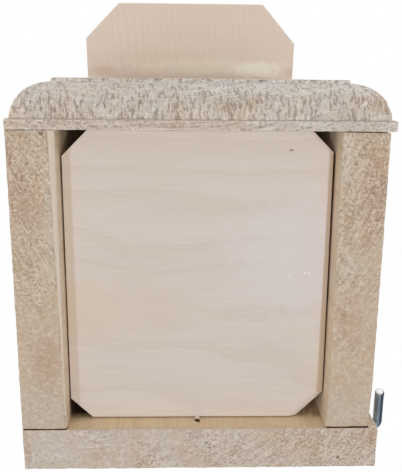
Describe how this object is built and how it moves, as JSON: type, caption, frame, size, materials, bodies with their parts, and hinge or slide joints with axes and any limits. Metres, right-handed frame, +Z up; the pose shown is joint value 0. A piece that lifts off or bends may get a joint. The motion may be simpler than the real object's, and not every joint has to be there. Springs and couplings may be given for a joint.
{
  "type": "bluebird house",
  "caption": "Wooden bluebird nest box with a routed front, a sloping roof with clipped corners, a recessed floor and a side that swings out once its screw hook is turned.",
  "frame": {"origin": "middle of the bottom edge of the back board's rear face, the face that goes against a post", "axes": "+Z up, +Y out of the rear face towards the post, the entrance faces -Y, the swinging side is at +X"},
  "size_m": [0.1486, 0.2004, 0.3048],
  "materials": {
    "sawn_pine": "rough-sawn, unfinished",
    "routed_pine": "planed, routed edges with torn end grain, unfinished",
    "planed_pine": "planed smooth, unfinished",
    "zinc_plated_steel": "blue-grey zinc plating, bright cut end",
    "nail_steel": "galvanised, dull"
  },
  "bodies": {
    "box": {"back_board": "sawn_pine", "fixed_side": "sawn_pine", "front_board": "routed_pine", "floor_panel": "planed_pine", "roof_board": "planed_pine", "pivot_nail_front": "nail_steel", "pivot_nail_back": "nail_steel", "front_to_side_nails": "nail_steel", "back_to_side_nails": "nail_steel", "front_to_floor_nails": "nail_steel", "back_to_floor_nails": "nail_steel", "side_to_floor_nails": "nail_steel", "roof_to_front_nails": "nail_steel", "back_to_roof_nails": "nail_steel"},
    "door": {"swing_side": "sawn_pine"},
    "latch": {"latch_hook": "zinc_plated_steel"}
  },
  "joints": [
    {"name": "side_swing", "type": "hinge", "parent": "box", "child": "door", "pos_m": [0.0574, -0.0752, 0.19885], "axis": [0, -1, 0], "range_deg": [0, 140]},
    {"name": "hook_turn", "type": "hinge", "parent": "box", "child": "latch", "pos_m": [0.06985, -0.00865, 0.017], "axis": [-1, 0, 0], "range_deg": [-90, 90]}
  ]
}
